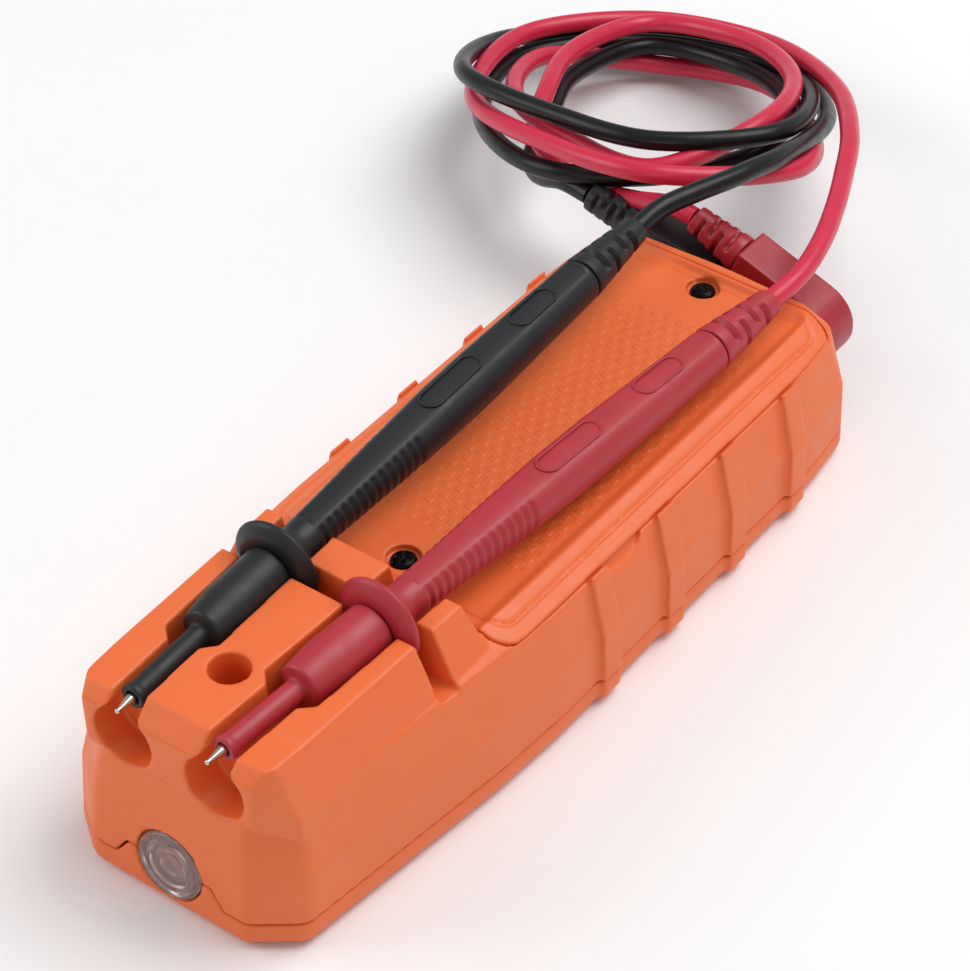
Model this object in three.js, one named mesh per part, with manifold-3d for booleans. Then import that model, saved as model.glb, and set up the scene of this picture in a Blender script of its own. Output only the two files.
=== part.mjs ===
// Two-lead voltage tester with its test probes stowed in the holder on its back.
//
// Frame: millimetres, +Z up, origin in the middle of the face the tester rests on. It lies on
// its front panel, so the holder and the battery door look up. -Y is the nose with the torch,
// +Y is the end with the two lead sockets, and +X is the side of the red probe.

import * as THREE from 'three';
import { ConvexGeometry } from 'three/addons/geometries/ConvexGeometry.js';
import { mergeVertices } from 'three/addons/utils/BufferGeometryUtils.js';
import Module from 'manifold-3d';

const wasm = await Module();
wasm.setup();

// ---------------------------------------------------------------- driving dimensions

const GAP = 0.3; // between pieces that touch
const OVERCUT = 20; // how far a cutter runs past what it cuts

// case
const BODY_LENGTH = 176.6;
const BODY_WIDTH = 65;
const NOSE_WIDTH = 53.6;
const NOSE_FACE_WIDTH = 35;
const REAR_WIDTH = 60.4;
const DECK_Z = 33; // top of the case behind the holder
const DECK_EDGE_Z = 31; // the same at its long edges
const CREASE_Z = 21; // where the side walls start to lean in
const NOSE_LEAN = 0.08; // how far the nose leans back for each millimetre of height
const WALL = 2.2;
const PANEL_WALL = 2.2; // front panel
const PARTING_Z = 5.6;
const FLARE_LENGTH = 64; // nose to where the case is at its widest
const NOSE_CORNER_LENGTH = 6.6; // the slanted corners of the nose, along the case
const NOSE_FACE_FILLET = 4.5;
const NOSE_CORNER_FILLET = 4;
const FLARE_FILLET = 160;
const REAR_TAPER_LENGTH = 21; // from the rear face
const REAR_TAPER_FILLET = 90;
const REAR_CORNER_FILLET = 5;
const REAR_BOW = 0.9; // how far the rear face bulges
const BOTTOM_FILLET = 2.8; // round the front panel
const SIDE_DRAFT = 0.3;
const CREASE_FILLET = 30;
const SHOULDER_INSET = 3.4; // of the side walls at the deck's edge
const SHOULDER_FILLET = 2.2;
const DECK_CROWN_INSET = 8.5;
const END_INSET = 2; // of the nose and rear faces at the deck's edge
const ARC_STEP_DEG = 9; // one flat on a fillet
const RIB_WIDTH = 5.6;
const RIB_HEIGHT = 1.2;
const RIB_PITCH = 21.2;
const RIB_COUNT = 4;
const FIRST_RIB = 85.3; // from the nose

// probe holder
const RIDGE_Z = 42;
const OUTER_WALL_DROP = 1.4; // outer walls end this far below the ridge
const HOLDER_LENGTH = 57.3;
const HOLDER_RUNOUT = 3; // slope behind the holder
const HOLDER_FRONT_SLOPE = 4; // slope ahead of the ridge
const HOLDER_FOOT = 3.6; // how far the foot of its walls stays inside the case's sides
const HOLDER_WALL = 3;
const CHANNEL_SPACING = 20.2; // between the channels' centre lines, at the nose
const CHANNEL_SPLAY = 0.0405; // sideways run for each millimetre of length
const TIP_CHANNEL_WIDTH = 6.8;
const CAP_CHANNEL_WIDTH = 11.8;
const CHANNEL_STEP = 21.3; // from the nose, start of the step between the two widths
const SCOOP_RADIUS = 6.5;
const SCOOP_Z = 33;
const SCOOP_DEPTH = 11;
const SLOT_AT = 47; // from the nose to the middle of the finger-guard slot
const SLOT_WIDTH = 4.7;
const NOSE_SCREW_AT = 20.8; // from the nose

// battery door
const DOOR_AT = 60.8; // from the nose to its front edge
const DOOR_REAR = 5.3; // from its rear edge to the rear face
const DOOR_WIDTH = 58.6;
const DOOR_CORNER = 6;
const DOOR_THICKNESS = 3.6;
const DOOR_DISH = 1.2;
const DOOR_RIM = 8;
const DOOR_SCREW_FRONT = 8.2; // from the door's front edge
const DOOR_SCREW_REAR = 4.6; // from the door's rear edge
const DOOR_BOSS_RADIUS = 3.9;
const DOOR_BOSS_DEPTH = 8;
const NOTCH_RADIUS = 12.3; // fingertip notch beside the door
const NOTCH_REACH = 2.3; // how far it reaches past the door's edge
const NOTCH_DEPTH = 2.2;
const NOTCH_AT = 96.3; // from the nose

// screws
const SCREW_HEAD_RADIUS = 2.6;
const SCREW_HEAD_HEIGHT = 1.8;
const SCREW_SHANK_RADIUS = 1.3;
const COUNTERBORE_RADIUS = 3.4;
const NOSE_BORE_RADIUS = 3.9;
const BOSS_RADIUS = 4.2;

// batteries: two AAA cells
const CELL_RADIUS = 5.25;
const CELL_LENGTH = 44.5;
const CELL_BUTTON = 0.9; // positive button
const CELL_CLEARANCE = 0.9; // between the two cells
const BAY_CLEARANCE = 0.8; // beside each cell
const CONTACT_THICKNESS = 0.4;
const CONTACT_ROOM = 3; // at each end of the cells

// torch
const LENS_RADIUS = 7.1;
const LENS_THICKNESS = 2.2;
const LENS_Z = 9.3;
const LENS_LIP = 1.2; // seat behind the lens
const LED_RADIUS = 2.5;
const LED_LENGTH = 8;

// electronics
const BOARD_THICKNESS = 1.6;
const BOARD_Z = 7.6; // underside of the board
const BOARD_NOSE_MARGIN = 30; // from the nose
const BOARD_REAR_MARGIN = 28; // from the rear face
const BOARD_WIDTH = 44;
const BUZZER_RADIUS = 6;
const BUZZER_HEIGHT = 4;
const LIGHT_COUNT = 6;
const LIGHT_PITCH = 8;
const LIGHT_SIZE = 3;
const LIGHT_HEIGHT = 1.4;

// front panel
const LABEL_LENGTH = 96;
const LABEL_WIDTH = 42;
const LABEL_THICKNESS = 0.5;
const LABEL_RECESS = 0.8;
const WINDOW_WIDTH = 5;
const WINDOW_X = -9;
const BUTTON_X = 8;
const BUTTON_RADIUS = 6.5;
const BUTTON_HEIGHT = 3.4;
const BUTTON_RECESS = 0.7; // below the panel, so that it isn't pressed by what it lies on
const BUTTON_TRAVEL = 0.8;

// sockets and plugs
const SOCKET_SPACING = 24;
const SOCKET_Z = 14.5;
const PIN_RADIUS = 2;
const PIN_LENGTH = 19;
const SHROUD_RADIUS = 5.2;
const SHROUD_WALL = 1.3;
const SOCKET_TUBE_RADIUS = 3.4;
const SOCKET_TUBE_WALL = 1;
const PLUG_HEAD_RADIUS = 8.4;
const PLUG_HEAD_LENGTH = 15.6;
const PLUG_STANDOFF = 0.6; // between the head and the case
const PLUG_ARM_LENGTH = 18.5; // from the plug's axis
const PLUG_ARM_DEPTH = 9.4;
const PLUG_ARM_HEIGHT = 8.6;
const PLUG_BOOT_LENGTH = 12.5;

// probes, from the middle of the finger guard
const GUARD_RADIUS = 9.3;
const GUARD_THICKNESS = 3.2;
const CAP_RADIUS = 5.1;
const CAP_FRONT_RADIUS = 4.4;
const CAP_LENGTH = 19.5;
const SLEEVE_RADIUS = 2.15;
const SLEEVE_LENGTH = 18.5;
const ROD_RADIUS = 1;
const TIP_LENGTH = 4.2;
const NECK_RADIUS = 3.9;
const BARREL_RADIUS = 5.4;
const BARREL_END_RADIUS = 4.6;
const GRIP_LENGTH = 44;
const HANDLE_LENGTH = 97;
const PROBE_BOOT_LENGTH = 19;

// leads
const LEAD_RADIUS = 2.1;
const COIL_LENGTH = 118; // outside, along the way it leans
const COIL_WIDTH = 91.6; // outside, across it
const COIL_BAND = 14; // the bundle of turns, across the ring
const COIL_HEIGHT = 9; // the bundle of turns, through the ring
const COIL_CENTRE = [-53.8, 138.4, 22.6];
const COIL_TURN_DEG = 34.5; // which way it leans, about Z
const COIL_LEAN_DEG = 16.8;

// each side of the tester: where its probe lies and how its plug is turned
const SIDES = [
  {
    name: 'black', sign: -1, colour: '#33363a', leadColour: '#222427',
    guardX: -11.3, guardZ: 40.5, splayDeg: 1.43, liftDeg: 0.86, plugTurnDeg: 9,
    probeLead: [
      [-14.2, 75.1, 42.3], [-13.7, 83, 42.8], [-10.9, 91.5, 42.9], [-8.2, 101, 42],
      [-7.4, 106, 41.3],
    ],
    plugLead: [
      [-42.7, 99.8, 23.5], [-50.5, 100.6, 24.3], [-57.5, 103.6, 24.3], [-62.2, 107.2, 24.3],
      [-65, 110.1, 24.4],
    ],
  },
  {
    name: 'red', sign: 1, colour: '#b8323c', leadColour: '#cf2f42',
    guardX: 11.9, guardZ: 39.2, splayDeg: -2.86, liftDeg: -0.29, plugTurnDeg: 20,
    probeLead: [
      [17.7, 74.9, 38.6], [18.1, 85, 38.9], [16, 96, 38.9], [11.6, 108.4, 38],
      [5.8, 121.4, 36.5], [-0.3, 133.2, 34.6], [-3, 138.3, 33.6],
    ],
    plugLead: [
      [-16.3, 99.8, 29.2], [-19.2, 99.8, 29.9], [-21.8, 99.8, 30.1],
    ],
  },
];

// ---------------------------------------------------------------- places worked out from them

const noseY = -BODY_LENGTH / 2;
const rearY = BODY_LENGTH / 2;
const slotY = noseY + SLOT_AT;
const doorFrontY = noseY + DOOR_AT;
const doorRearY = rearY - DOOR_REAR;
const doorMidY = (doorFrontY + doorRearY) / 2;
const doorScrewFrontY = doorFrontY + DOOR_SCREW_FRONT;
const doorScrewRearY = doorRearY - DOOR_SCREW_REAR;
const doorFloorZ = DECK_Z - DOOR_THICKNESS;
const recessZ = doorFloorZ - GAP;
const channelFloorZ = SIDES[1].guardZ - CAP_RADIUS - 0.8;
const slotFloorZ = SIDES[1].guardZ - GUARD_RADIUS - 0.5;
const bayLength = CELL_LENGTH + CELL_BUTTON + 2 * CONTACT_ROOM;
const cellSpacing = 2 * CELL_RADIUS + CELL_CLEARANCE;
const bayWidth = cellSpacing + 2 * CELL_RADIUS + 2 * BAY_CLEARANCE;
const cellZ = recessZ - CELL_RADIUS - 2.2;
const bayFloorZ = cellZ - CELL_RADIUS - GAP;
const ceilingZ = recessZ - 2.6;
const noseCeilingZ = SCOOP_Z - SCOOP_RADIUS - WALL - 1.4;
const boardTopZ = BOARD_Z + BOARD_THICKNESS;
const boardFrontY = noseY + BOARD_NOSE_MARGIN;
const boardRearY = rearY - BOARD_REAR_MARGIN;
const boardLength = boardRearY - boardFrontY;
const boardMidY = (boardFrontY + boardRearY) / 2;
const bossTopZ = 11.6; // where the two halves' bosses meet
const noseScrewY = noseY + NOSE_SCREW_AT;
const rearBossX = SOCKET_SPACING / 2 + SHROUD_RADIUS + WALL + BOSS_RADIUS + 0.8;
const rearBossY = rearY - 20;
const housingFrontY = rearY - PIN_LENGTH - 5;
const windowY = boardMidY - 6;
const buttonY = windowY + 24;
const windowLength = (LIGHT_COUNT - 1) * LIGHT_PITCH + LIGHT_SIZE + 3;

// ---------------------------------------------------------------- shapes

// A solid from a geometry. Only positions are kept, and shared corners are merged.
function solid(geometry, matrix = new THREE.Matrix4()) {
  const plain = geometry.clone().applyMatrix4(matrix);
  plain.deleteAttribute('normal');
  plain.deleteAttribute('uv');
  const merged = mergeVertices(plain, 1e-4);
  const triVerts = Uint32Array.from(merged.index.array);
  const vertProperties = Float32Array.from(merged.attributes.position.array);
  return new wasm.Manifold(new wasm.Mesh({ numProp: 3, vertProperties, triVerts }));
}

function at(x, y, z) {
  return new THREE.Matrix4().makeTranslation(x, y, z);
}

function box(x0, x1, y0, y1, z0, z1) {
  const geometry = new THREE.BoxGeometry(x1 - x0, y1 - y0, z1 - z0);
  return solid(geometry, at((x0 + x1) / 2, (y0 + y1) / 2, (z0 + z1) / 2));
}

// A round bar along Y from y0 to y1.
function barY(radius, x, z, y0, y1, segments = 28) {
  const geometry = new THREE.CylinderGeometry(radius, radius, y1 - y0, segments);
  return solid(geometry, at(x, (y0 + y1) / 2, z));
}

// A round bar along Z from z0 to z1.
function barZ(radius, x, y, z0, z1, segments = 24) {
  const geometry = new THREE.CylinderGeometry(radius, radius, z1 - z0, segments);
  geometry.rotateX(Math.PI / 2);
  return solid(geometry, at(x, y, (z0 + z1) / 2));
}

// A solid turned about Y, from [radius, y] pairs that start and end on the axis.
function turned(profile, segments = 28) {
  const points = profile.map(([r, y]) => new THREE.Vector2(r, y));
  return solid(new THREE.LatheGeometry(points, segments));
}

// A plan outline, pushed up from z0 to z1.
function prism(outline, z0, z1) {
  const shape = new THREE.Shape(outline.map(([x, y]) => new THREE.Vector2(x, y)));
  const geometry = new THREE.ExtrudeGeometry(shape, { depth: z1 - z0, bevelEnabled: false });
  return solid(geometry, at(0, 0, z0));
}

function roundedRectangle(x0, x1, y0, y1, radius) {
  const corners = [[x1 - radius, y0 + radius, -90], [x1 - radius, y1 - radius, 0],
    [x0 + radius, y1 - radius, 90], [x0 + radius, y0 + radius, 180]];
  const points = [];
  for (const [x, y, start] of corners) {
    for (let step = 0; step <= 5; step += 1) {
      const angle = THREE.MathUtils.degToRad(start + step * 18);
      points.push([x + radius * Math.cos(angle), y + radius * Math.sin(angle)]);
    }
  }
  return points;
}

function hull(points) {
  return solid(new ConvexGeometry(points));
}

function joined(...pieces) {
  return pieces.reduce((all, piece) => all.add(piece));
}

function cut(base, ...cutters) {
  return cutters.reduce((left, cutter) => left.subtract(cutter), base);
}

function moved(piece, matrix) {
  return piece.transform(matrix.elements);
}

const group = new THREE.Group();
group.name = 'voltage_tester';

const FINISHES = {
  case: ['#e8743a', 0.5, 0],
  blackScrew: ['#1b1c1e', 0.35, 0.6],
  steel: ['#b9bcc0', 0.25, 1],
  brass: ['#c9a552', 0.3, 1],
  clear: ['#d9b5b8', 0.12, 0],
  light: ['#f4f2e6', 0.2, 0],
  board: ['#1f6b3a', 0.55, 0],
  darkPlastic: ['#232427', 0.55, 0],
  panel: ['#3b3d41', 0.5, 0],
  button: ['#5a5d61', 0.6, 0],
  cell: ['#3f4b57', 0.35, 0.3],
};

// Adds one named mesh to the model.
function add(name, piece, finish, parent = group) {
  const { vertProperties, triVerts } = piece.getMesh();
  const geometry = new THREE.BufferGeometry();
  geometry.setAttribute('position', new THREE.BufferAttribute(vertProperties, 3));
  geometry.setIndex(new THREE.BufferAttribute(triVerts, 1));
  geometry.computeVertexNormals();
  const [color, roughness, metalness] = Array.isArray(finish) ? finish : FINISHES[finish];
  const mesh = new THREE.Mesh(
    geometry,
    new THREE.MeshStandardMaterial({ color, roughness, metalness }),
  );
  mesh.name = name;
  parent.add(mesh);
}

// ---------------------------------------------------------------- case outline

// A line through corners, each rounded to its own radius: [x, y, radius].
function filleted(corners) {
  const points = [];
  corners.forEach(([x, y, radius], index) => {
    const corner = new THREE.Vector2(x, y);
    if (!radius) {
      points.push(corner);
      return;
    }
    const before = new THREE.Vector2(...corners[index - 1]).sub(corner).normalize();
    const after = new THREE.Vector2(...corners[index + 1]).sub(corner).normalize();
    const half = Math.acos(before.dot(after)) / 2;
    const reach = radius / Math.tan(half);
    const centre = before.clone().add(after).normalize().multiplyScalar(radius / Math.sin(half));
    const start = before.clone().multiplyScalar(reach).sub(centre);
    const sweep = Math.PI - 2 * half;
    const steps = Math.max(1, Math.round(sweep / THREE.MathUtils.degToRad(ARC_STEP_DEG)));
    for (let step = 0; step <= steps; step += 1) {
      const spoke = start.clone().rotateAround(new THREE.Vector2(), (sweep * step) / steps);
      points.push(corner.clone().add(centre).add(spoke));
    }
  });
  return points.map(({ x, y }) => [x, y]);
}

// Half of the plan outline, from the middle of the nose to the middle of the rear.
function halfOutline() {
  const face = NOSE_FACE_WIDTH / 2;
  const nose = NOSE_WIDTH / 2;
  const wide = BODY_WIDTH / 2;
  const rear = REAR_WIDTH / 2;
  return filleted([
    [0, noseY],
    [face, noseY, NOSE_FACE_FILLET],
    [nose - 0.6, noseY + NOSE_CORNER_LENGTH, NOSE_CORNER_FILLET],
    [wide, noseY + FLARE_LENGTH, FLARE_FILLET],
    [wide, rearY - REAR_TAPER_LENGTH, REAR_TAPER_FILLET],
    [rear, rearY - REAR_BOW, REAR_CORNER_FILLET],
    [0, rearY],
  ]);
}

// The outline at one height, drawn in by a distance at the sides, the nose and the rear.
function ring(z, side, nose, rear) {
  const front = noseY + nose + NOSE_LEAN * z;
  const points = [];
  for (const [x, y] of halfOutline()) {
    const along = (y - noseY) / BODY_LENGTH;
    const inset = x * (1 - side / (BODY_WIDTH / 2));
    const placed = THREE.MathUtils.lerp(front, rearY - rear, along);
    points.push(new THREE.Vector3(inset, placed, z), new THREE.Vector3(-inset, placed, z));
  }
  return points;
}

// The case's whole outer form, or the same drawn in by a skin thickness.
function caseForm(skin) {
  const rings = [];
  for (let step = 0; step <= 4; step += 1) {
    const angle = (step / 4) * (Math.PI / 2);
    const inset = BOTTOM_FILLET * (1 - Math.sin(angle)) + skin;
    rings.push(...ring(BOTTOM_FILLET * (1 - Math.cos(angle)), inset, inset, inset));
  }
  const upper = filleted([
    [0, BOTTOM_FILLET],
    [SIDE_DRAFT, CREASE_Z, CREASE_FILLET],
    [SHOULDER_INSET, DECK_EDGE_Z, SHOULDER_FILLET],
    [DECK_CROWN_INSET, DECK_Z],
  ]);
  for (const [inset, z] of upper.slice(1)) {
    const end = Math.min(inset, END_INSET + (inset - SHOULDER_INSET) * 0.2);
    rings.push(...ring(z, inset + skin, end + skin, end + skin));
  }
  return hull(rings);
}

// Everything below the parting face. On the nose it steps up to the middle of the lens.
function belowParting(extra) {
  const flat = box(-BODY_WIDTH, BODY_WIDTH, noseY - OVERCUT, rearY + OVERCUT, -OVERCUT, PARTING_Z + extra);
  const half = LENS_RADIUS + 2.4 + extra;
  const top = LENS_Z + extra;
  const step = new THREE.Shape([
    new THREE.Vector2(-half - 3.6, PARTING_Z - 1),
    new THREE.Vector2(half + 3.6, PARTING_Z - 1),
    new THREE.Vector2(half, top),
    new THREE.Vector2(-half, top),
  ]);
  const depth = OVERCUT + WALL + LENS_THICKNESS + LENS_LIP + extra;
  const geometry = new THREE.ExtrudeGeometry(step, { depth, bevelEnabled: false });
  geometry.rotateX(Math.PI / 2);
  return flat.add(solid(geometry, at(0, noseY - OVERCUT + depth, 0)));
}

// The lens and its seat lean back with the nose.
function leaned(piece) {
  const turn = new THREE.Matrix4().makeRotationX(Math.atan(NOSE_LEAN));
  return moved(piece, at(0, noseY + NOSE_LEAN * LENS_Z, LENS_Z).multiply(turn));
}

const lensSeat = leaned(joined(
  barY(LENS_RADIUS + GAP, 0, 0, -OVERCUT, LENS_THICKNESS + GAP),
  barY(LENS_RADIUS - 1.2, 0, 0, 0, LENS_THICKNESS + LENS_LIP + 6),
));

// ---------------------------------------------------------------- case halves

// Ribs: raised bands round both sides, cut from a slightly larger form.
function ribs() {
  const larger = caseForm(-RIB_HEIGHT);
  const bands = [];
  for (let index = 0; index < RIB_COUNT; index += 1) {
    const y = noseY + FIRST_RIB + index * RIB_PITCH;
    for (const sign of [-1, 1]) {
      const inner = sign * (DOOR_WIDTH / 2 + 0.6);
      const outer = sign * (BODY_WIDTH / 2 + OVERCUT);
      bands.push(box(Math.min(inner, outer), Math.max(inner, outer), y, y + RIB_WIDTH, 1.5, DECK_Z));
    }
  }
  return joined(...bands).intersect(larger);
}

// The raised block that holds the probes: a wide ridge between two channels.
function holder() {
  const topHalf = CHANNEL_SPACING / 2 + CHANNEL_SPLAY * HOLDER_LENGTH + CAP_CHANNEL_WIDTH / 2 + HOLDER_WALL;
  const noseHalf = topHalf - 1;
  const footRear = BODY_WIDTH / 2 - HOLDER_FOOT - 1;
  const footNose = NOSE_WIDTH / 2 - 2.2;
  const rearTop = noseY + HOLDER_LENGTH;
  const frontTop = noseY + NOSE_LEAN * RIDGE_Z + HOLDER_FRONT_SLOPE;
  const footZ = DECK_EDGE_Z - 3;
  const points = [];
  for (const sign of [-1, 1]) {
    points.push(
      new THREE.Vector3(sign * noseHalf, frontTop, RIDGE_Z),
      new THREE.Vector3(sign * topHalf, rearTop, RIDGE_Z),
      new THREE.Vector3(sign * (noseHalf - 1.4), noseY + NOSE_LEAN * 38 + 0.4, 38),
      new THREE.Vector3(sign * (NOSE_FACE_WIDTH / 2 + 1), noseY + NOSE_LEAN * footZ + 1, footZ),
      new THREE.Vector3(sign * footNose, noseY + 9, footZ),
      new THREE.Vector3(sign * footRear, rearTop + HOLDER_RUNOUT, footZ),
      new THREE.Vector3(sign * footRear, rearTop + HOLDER_RUNOUT, footZ - 4),
      new THREE.Vector3(sign * footNose, noseY + 9, footZ - 4),
    );
  }
  const block = hull(points);
  const cutters = SIDES.map(({ sign }) => {
    const nose = CHANNEL_SPACING / 2;
    const rear = nose + CHANNEL_SPLAY * (HOLDER_LENGTH + OVERCUT);
    const far = BODY_WIDTH;
    const outline = [
      [sign * nose, noseY - OVERCUT], [sign * far, noseY - OVERCUT],
      [sign * far, rearTop + OVERCUT], [sign * rear, rearTop + OVERCUT],
    ];
    return prism(sign > 0 ? outline : outline.reverse(), RIDGE_Z - OUTER_WALL_DROP, RIDGE_Z + OVERCUT);
  });
  return cut(block, ...cutters);
}

// What is cut from the holder on one side: a stepped channel and the scoop at its mouth.
function channel(sign) {
  const place = at(sign * CHANNEL_SPACING / 2, noseY, 0)
    .multiply(new THREE.Matrix4().makeRotationZ(-sign * Math.atan(CHANNEL_SPLAY)));
  const tip = TIP_CHANNEL_WIDTH / 2;
  const cap = CAP_CHANNEL_WIDTH / 2;
  const step = CHANNEL_STEP;
  const end = HOLDER_LENGTH + HOLDER_RUNOUT + 2;
  const outline = [
    [-tip, -OVERCUT], [tip, -OVERCUT], [tip, step], [cap, step + cap - tip],
    [cap, end], [-cap, end], [-cap, step + cap - tip], [-tip, step],
  ];
  const scoop = barY(SCOOP_RADIUS, 0, SCOOP_Z, -OVERCUT, SCOOP_DEPTH);
  const mouth = box(-SCOOP_RADIUS, SCOOP_RADIUS, -OVERCUT, 3.2, SCOOP_Z, SCOOP_Z + 2);
  return moved(joined(prism(outline, channelFloorZ, RIDGE_Z + OVERCUT), scoop, mouth), place);
}

const doorOutline = (clearance) => roundedRectangle(
  -DOOR_WIDTH / 2 - clearance, DOOR_WIDTH / 2 + clearance,
  doorFrontY - clearance, doorRearY + clearance, DOOR_CORNER + clearance,
);

// Case screws: one deep in the ridge, two under the battery door.
const CASE_SCREWS = [
  { name: 'case_screw_nose', x: 0, y: noseScrewY, seatZ: bossTopZ + 4 },
  { name: 'case_screw_rear_left', x: -rearBossX, y: rearBossY, seatZ: recessZ - 6 },
  { name: 'case_screw_rear_right', x: rearBossX, y: rearBossY, seatZ: recessZ - 6 },
];

function rearCase() {
  const shell = joined(caseForm(0), ribs(), holder());
  const hollow = joined(
    box(-BODY_WIDTH, BODY_WIDTH, noseY + 14, rearY, 0, ceilingZ),
    box(-BODY_WIDTH, BODY_WIDTH, noseY, noseY + 15, 0, noseCeilingZ),
  ).intersect(caseForm(WALL));
  const inside = joined(
    box(-bayWidth / 2 - 1.6, bayWidth / 2 + 1.6, doorMidY - bayLength / 2 - 1.6,
      doorMidY + bayLength / 2 + 1.6, bayFloorZ - 1.6, ceilingZ + 1),
    box(-SOCKET_SPACING / 2 - SHROUD_RADIUS - WALL, SOCKET_SPACING / 2 + SHROUD_RADIUS + WALL,
      housingFrontY, rearY - 1, PARTING_Z + 2, ceilingZ + 1),
    ...CASE_SCREWS.map(({ x, y }) => barZ(BOSS_RADIUS + 1, x, y, bossTopZ, ceilingZ + 1)),
    barZ(DOOR_BOSS_RADIUS, 0, doorScrewFrontY, recessZ - DOOR_BOSS_DEPTH - 1, ceilingZ + 1),
  ).intersect(caseForm(WALL / 2));
  const sockets = SIDES.flatMap(({ sign }) => {
    const x = sign * SOCKET_SPACING / 2;
    return [
      barY(SHROUD_RADIUS + GAP, x, SOCKET_Z, rearY - PIN_LENGTH - 1.4, rearY + OVERCUT),
      barY(SOCKET_TUBE_RADIUS + GAP, x, SOCKET_Z, housingFrontY - 1, rearY),
    ];
  });
  const screwBores = CASE_SCREWS.flatMap(({ x, y, seatZ }) => [
    barZ(NOSE_BORE_RADIUS, x, y, seatZ, RIDGE_Z + OVERCUT),
    barZ(SCREW_SHANK_RADIUS + GAP, x, y, 0, RIDGE_Z),
  ]);
  return cut(
    joined(cut(shell, hollow), inside),
    belowParting(GAP),
    prism(doorOutline(GAP), recessZ, DECK_Z + 4).subtract(holderKeep()),
    box(-bayWidth / 2, bayWidth / 2, doorMidY - bayLength / 2, doorMidY + bayLength / 2,
      bayFloorZ, DECK_Z),
    box(-BODY_WIDTH, BODY_WIDTH, slotY - SLOT_WIDTH / 2, slotY + SLOT_WIDTH / 2,
      slotFloorZ, RIDGE_Z + OVERCUT),
    channel(-1),
    channel(1),
    lensSeat,
    barZ(SCREW_SHANK_RADIUS + GAP, 0, doorScrewFrontY, recessZ - DOOR_BOSS_DEPTH, DECK_Z),
    barZ(SCREW_SHANK_RADIUS + GAP, 0, doorScrewRearY, recessZ - 2, DECK_Z),
    fingerNotch(),
    ...sockets,
    ...screwBores,
  );
}

// The strip behind the holder that the door's recess must not cut.
function holderKeep() {
  return box(-BODY_WIDTH, BODY_WIDTH, noseY, doorFrontY - GAP, 0, RIDGE_Z);
}

// A half-moon notch in the case beside the door, for a fingertip to lift the door.
function fingerNotch() {
  const edge = DOOR_WIDTH / 2;
  const y = noseY + NOTCH_AT;
  const moon = barZ(NOTCH_RADIUS, edge + NOTCH_REACH - NOTCH_RADIUS, y,
    DECK_EDGE_Z - NOTCH_DEPTH, DECK_Z + OVERCUT);
  return moon.intersect(
    box(edge, BODY_WIDTH, y - NOTCH_RADIUS, y + NOTCH_RADIUS, recessZ, DECK_Z + OVERCUT),
  );
}

function frontCase() {
  const hollow = caseForm(WALL).intersect(
    box(-BODY_WIDTH, BODY_WIDTH, noseY, rearY, PANEL_WALL, DECK_Z),
  );
  const shell = cut(joined(caseForm(0), ribs()).intersect(belowParting(0)), hollow);
  const bosses = CASE_SCREWS.map(({ x, y }) => (
    barZ(BOSS_RADIUS, x, y, PANEL_WALL / 2, bossTopZ - GAP)
  ));
  const pilots = CASE_SCREWS.map(({ x, y }) => (
    barZ(SCREW_SHANK_RADIUS + GAP, x, y, PANEL_WALL, bossTopZ + 1)
  ));
  return cut(
    joined(shell, ...bosses),
    lensSeat,
    prism(labelOutline(GAP), -1, LABEL_RECESS),
    barZ(BUTTON_RADIUS + GAP, BUTTON_X, buttonY, -1, PANEL_WALL + 1),
    windowBox(GAP, -1, PANEL_WALL + 1),
    ...pilots,
  );
}

// ---------------------------------------------------------------- front panel

const labelOutline = (clearance) => roundedRectangle(
  -LABEL_WIDTH / 2 - clearance, LABEL_WIDTH / 2 + clearance,
  boardMidY - LABEL_LENGTH / 2 - clearance, boardMidY + LABEL_LENGTH / 2 + clearance,
  4 + clearance,
);

function windowBox(clearance, z0, z1) {
  const half = WINDOW_WIDTH / 2 + clearance;
  const long = windowLength / 2 + clearance;
  return box(WINDOW_X - half, WINDOW_X + half, windowY - long, windowY + long, z0, z1);
}

const label = cut(
  prism(labelOutline(0), 0.05, 0.05 + LABEL_THICKNESS),
  barZ(BUTTON_RADIUS + GAP, BUTTON_X, buttonY, -1, 2),
  windowBox(GAP, -1, 2),
);

const lightBar = joined(
  windowBox(0, 0.2, PANEL_WALL + GAP),
  windowBox(1.2, PANEL_WALL + GAP, PANEL_WALL + GAP + 1),
);

const buttonBase = BUTTON_RECESS + BUTTON_HEIGHT - 1;
const button = joined(
  barZ(BUTTON_RADIUS, BUTTON_X, buttonY, BUTTON_RECESS, buttonBase, 32),
  barZ(BUTTON_RADIUS + 1.4, BUTTON_X, buttonY, PANEL_WALL + GAP, buttonBase + 1, 32),
);

// ---------------------------------------------------------------- battery door

function batteryDoor() {
  const plate = prism(doorOutline(0), doorFloorZ, DECK_Z + 4).intersect(caseForm(0));
  const dishTop = roundedRectangle(-DOOR_WIDTH / 2 + DOOR_RIM, DOOR_WIDTH / 2 - DOOR_RIM,
    doorFrontY - 6, doorRearY - 1.6, 4);
  const lift = DOOR_DISH + 0.4;
  const dish = hull(dishTop.flatMap(([x, y]) => [
    new THREE.Vector3(x, y, DECK_Z - DOOR_DISH),
    new THREE.Vector3(x * 1.12, y + 1.2 * Math.sign(y - doorMidY), DECK_Z - DOOR_DISH + lift),
  ]));
  const seats = [doorScrewFrontY, doorScrewRearY].flatMap((y) => [
    barZ(COUNTERBORE_RADIUS, 0, y, doorFloorZ + 1, DECK_Z + 2),
    barZ(SCREW_SHANK_RADIUS + GAP, 0, y, doorFloorZ - 1, DECK_Z),
  ]);
  return cut(plate, dish, ...seats);
}

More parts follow.
